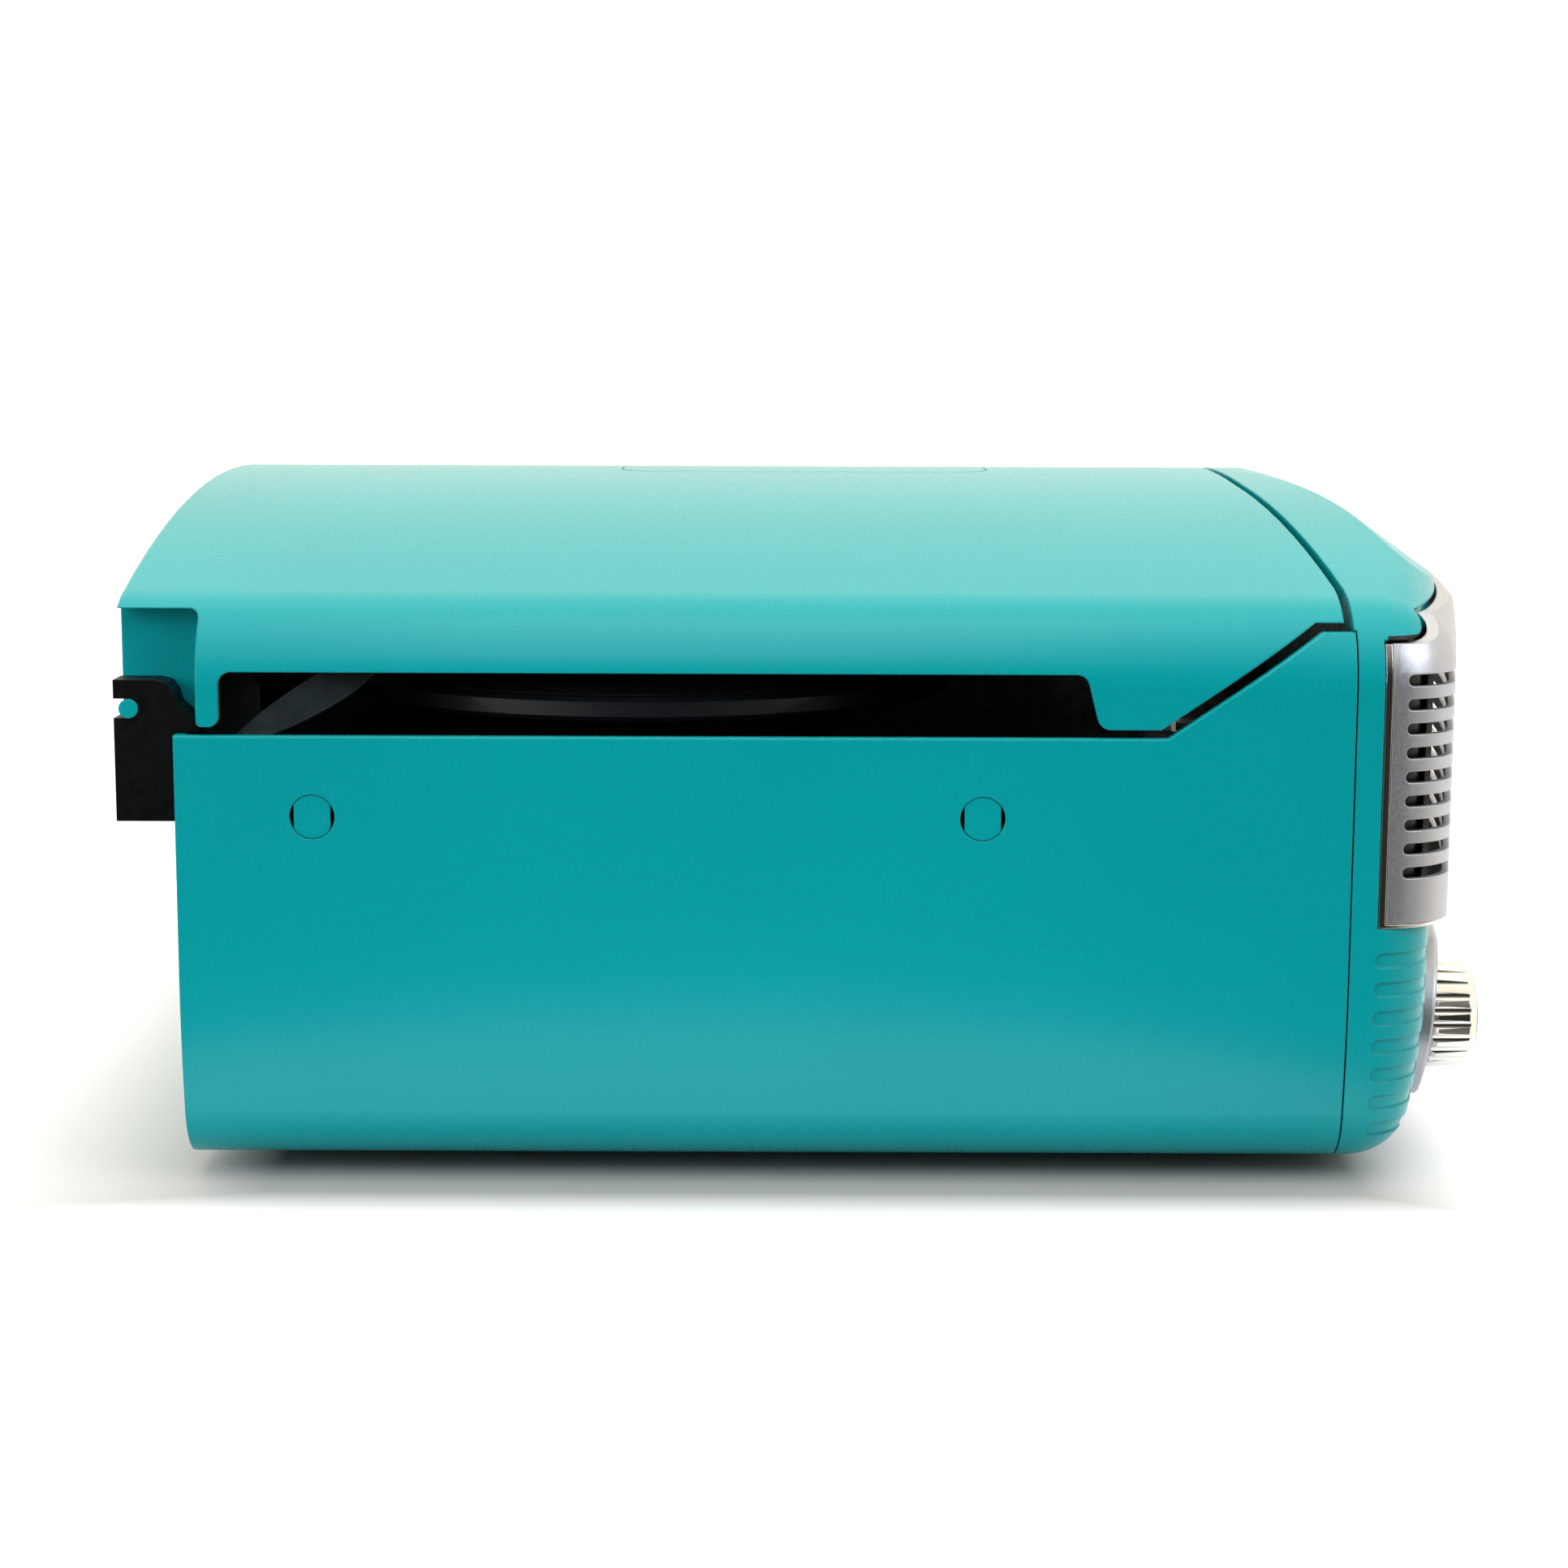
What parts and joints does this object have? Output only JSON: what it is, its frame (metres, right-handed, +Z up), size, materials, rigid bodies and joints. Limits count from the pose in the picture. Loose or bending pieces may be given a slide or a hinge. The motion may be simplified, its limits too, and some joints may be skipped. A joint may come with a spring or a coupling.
{
  "type": "table-top record player and radio music centre",
  "caption": "Retro table-top music centre: bowed cabinet, hinged lid over a record deck, slotted silver grille, dial, knobs and push buttons.",
  "frame": {"origin": "on the table, under the middle of the whole machine", "axes": "+X to the right seen from the front, -Y to the front, +Z up"},
  "size_m": [0.43, 0.4277, 0.2097],
  "materials": {
    "teal_shell": "satin turquoise moulding",
    "black_plastic": "black moulded plastic",
    "satin_silver": "satin silver",
    "chrome_trim": "bright chrome plate",
    "base_board": "black board",
    "foot_rubber": "black rubber",
    "steel": "zinc plated",
    "brass": "plated brass",
    "belt_rubber": "matte",
    "adapter_plastic": "dark plastic",
    "arm_alloy": "satin",
    "stylus_red": "red plastic",
    "mat_rubber": "ribbed rubber",
    "speaker_cloth": "black cloth",
    "dial_glass": "clear",
    "dial_cream": "cream with black print",
    "speaker_paper": "pressed paper",
    "circuit_green": "green laminate",
    "ribbon_grey": "flat vinyl lead"
  },
  "bodies": {
    "cabinet": {"cabinet_shell": "teal_shell", "front_bezel": "teal_shell", "side_screw_plugs": "teal_shell", "bottom_plate": "base_board", "rubber_feet": "foot_rubber", "bottom_screws": "steel", "side_screws": "steel", "hinge_screws": "steel", "deck_plate": "black_plastic", "rear_jack_panel": "black_plastic", "rca_jacks": "brass", "power_inlet": "black_plastic", "hinge_bracket_left": "black_plastic", "hinge_bracket_right": "black_plastic", "spindle": "steel", "drive_belt": "belt_rubber", "turntable_motor": "steel", "record_adapter": "adapter_plastic", "tonearm_base": "black_plastic", "arm_rest": "black_plastic", "speaker_grille": "satin_silver", "grille_trim": "chrome_trim", "grille_backing": "speaker_cloth", "dial_window": "dial_glass", "dial_scale": "dial_cream", "control_plate": "satin_silver", "volume_potentiometer": "steel", "tuning_capacitor": "steel", "headphone_jack": "black_plastic", "speaker_frames": "steel", "speaker_cones": "speaker_paper", "main_circuit_board": "circuit_green", "mains_transformer": "steel"},
    "lid": {"lid_shell": "teal_shell", "lid_inner_cover": "black_plastic", "cd_chassis": "black_plastic", "lid_ribbon_cable": "ribbon_grey"},
    "cd_door": {"cd_door": "teal_shell"},
    "cd_hub": {"cd_hub": "adapter_plastic"},
    "cd_pickup": {"cd_pickup": "black_plastic"},
    "platter": {"platter": "black_plastic", "platter_mat": "mat_rubber"},
    "pulley": {"motor_pulley": "brass"},
    "arm_yoke": {"tonearm_yoke": "black_plastic"},
    "arm": {"tonearm_tube": "arm_alloy", "headshell": "black_plastic", "stylus_cartridge": "stylus_red"},
    "arm_clip": {"arm_clip": "black_plastic"},
    "cue_lever": {"cue_lever": "black_plastic"},
    "cue_lift": {"cue_lift": "black_plastic"},
    "speed_switch": {"speed_switch": "satin_silver"},
    "auto_stop_switch": {"auto_stop_switch": "satin_silver"},
    "volume_knob": {"volume_knob": "chrome_trim"},
    "tuning_knob": {"tuning_knob": "chrome_trim"},
    "dial_pointer": {"dial_pointer": "stylus_red"},
    "push_button_1": {"push_button_1": "chrome_trim"},
    "push_button_2": {"push_button_2": "chrome_trim"},
    "push_button_3": {"push_button_3": "chrome_trim"},
    "push_button_4": {"push_button_4": "chrome_trim"},
    "push_button_5": {"push_button_5": "chrome_trim"}
  },
  "joints": [
    {"name": "lid_hinge", "type": "hinge", "parent": "cabinet", "child": "lid", "pos_m": [0, 0.209, 0.147], "axis": [-1, 0, 0], "range_deg": [0, 60], "deforming": ["lid_ribbon_cable"]},
    {"name": "cd_door_hinge", "type": "hinge", "parent": "lid", "child": "cd_door", "pos_m": [0.045, 0.0713, 0.2092], "axis": [-1, 0, 0], "range_deg": [0, 55]},
    {"name": "cd_hub_spin", "type": "hinge", "parent": "lid", "child": "cd_hub", "pos_m": [0.045, 0.005, 0.187], "axis": [0, 0, 1], "continuous": true},
    {"name": "cd_pickup_slide", "type": "slide", "parent": "lid", "child": "cd_pickup", "axis": [0, -1, 0], "range_m": [0, 0.022]},
    {"name": "platter_spin", "type": "hinge", "parent": "cabinet", "child": "platter", "pos_m": [-0.098, 0.058, 0.14], "axis": [0, 0, 1], "continuous": true},
    {"name": "pulley_spin", "type": "hinge", "parent": "cabinet", "child": "pulley", "pos_m": [-0.0372, -0.0028, 0.14], "axis": [0, 0, 1], "continuous": true},
    {"name": "arm_swing", "type": "hinge", "parent": "cabinet", "child": "arm_yoke", "pos_m": [0.075, 0.14, 0.15], "axis": [0, 0, -1], "range_deg": [0, 47]},
    {"name": "arm_lift", "type": "hinge", "parent": "arm_yoke", "child": "arm", "pos_m": [0.075, 0.14, 0.158], "axis": [-1, 0, 0], "range_deg": [0, 2.5]},
    {"name": "arm_clip_swing", "type": "hinge", "parent": "cabinet", "child": "arm_clip", "pos_m": [0.0819, 0.012, 0.1515], "axis": [0, 1, 0], "range_deg": [0, 45]},
    {"name": "cue_lever_swing", "type": "hinge", "parent": "cabinet", "child": "cue_lever", "pos_m": [0.1, 0.12, 0.14], "axis": [-1, 0, 0], "range_deg": [0, 35]},
    {"name": "cue_lift_rise", "type": "slide", "parent": "cabinet", "child": "cue_lift", "axis": [0, 0, 1], "range_m": [0, 0.0014]},
    {"name": "speed_switch_slide", "type": "slide", "parent": "cabinet", "child": "speed_switch", "axis": [0, 1, 0], "range_m": [0, 0.022]},
    {"name": "auto_stop_slide", "type": "slide", "parent": "cabinet", "child": "auto_stop_switch", "axis": [0, 1, 0], "range_m": [0, 0.014]},
    {"name": "volume_turn", "type": "hinge", "parent": "cabinet", "child": "volume_knob", "pos_m": [-0.15, -0.2, 0.041], "axis": [0, 1, 0], "range_deg": [0, 300]},
    {"name": "tuning_turn", "type": "hinge", "parent": "cabinet", "child": "tuning_knob", "pos_m": [0.15, -0.2, 0.041], "axis": [0, 1, 0], "range_deg": [-540, 540]},
    {"name": "pointer_travel", "type": "slide", "parent": "cabinet", "child": "dial_pointer", "axis": [1, 0, 0], "range_m": [-0.06, 0.06]},
    {"name": "button_1_press", "type": "slide", "parent": "cabinet", "child": "push_button_1", "axis": [0, 1, 0], "range_m": [0, 0.0025], "stiffness_N_per_m": 400},
    {"name": "button_2_press", "type": "slide", "parent": "cabinet", "child": "push_button_2", "axis": [0, 1, 0], "range_m": [0, 0.0025], "stiffness_N_per_m": 400},
    {"name": "button_3_press", "type": "slide", "parent": "cabinet", "child": "push_button_3", "axis": [0, 1, 0], "range_m": [0, 0.0025], "stiffness_N_per_m": 400},
    {"name": "button_4_press", "type": "slide", "parent": "cabinet", "child": "push_button_4", "axis": [0, 1, 0], "range_m": [0, 0.0025], "stiffness_N_per_m": 400},
    {"name": "button_5_press", "type": "slide", "parent": "cabinet", "child": "push_button_5", "axis": [0, 1, 0], "range_m": [0, 0.0025], "stiffness_N_per_m": 400}
  ],
  "couplings": [
    {"joint": "pulley_spin", "follows": "platter_spin", "ratio": 12},
    {"joint": "cue_lift_rise", "follows": "cue_lever_swing", "m_per_rad": 0.00229},
    {"joint": "arm_lift", "follows": "cue_lever_swing", "ratio": 0.0714},
    {"joint": "pointer_travel", "follows": "tuning_turn", "m_per_rad": 0.006366}
  ]
}
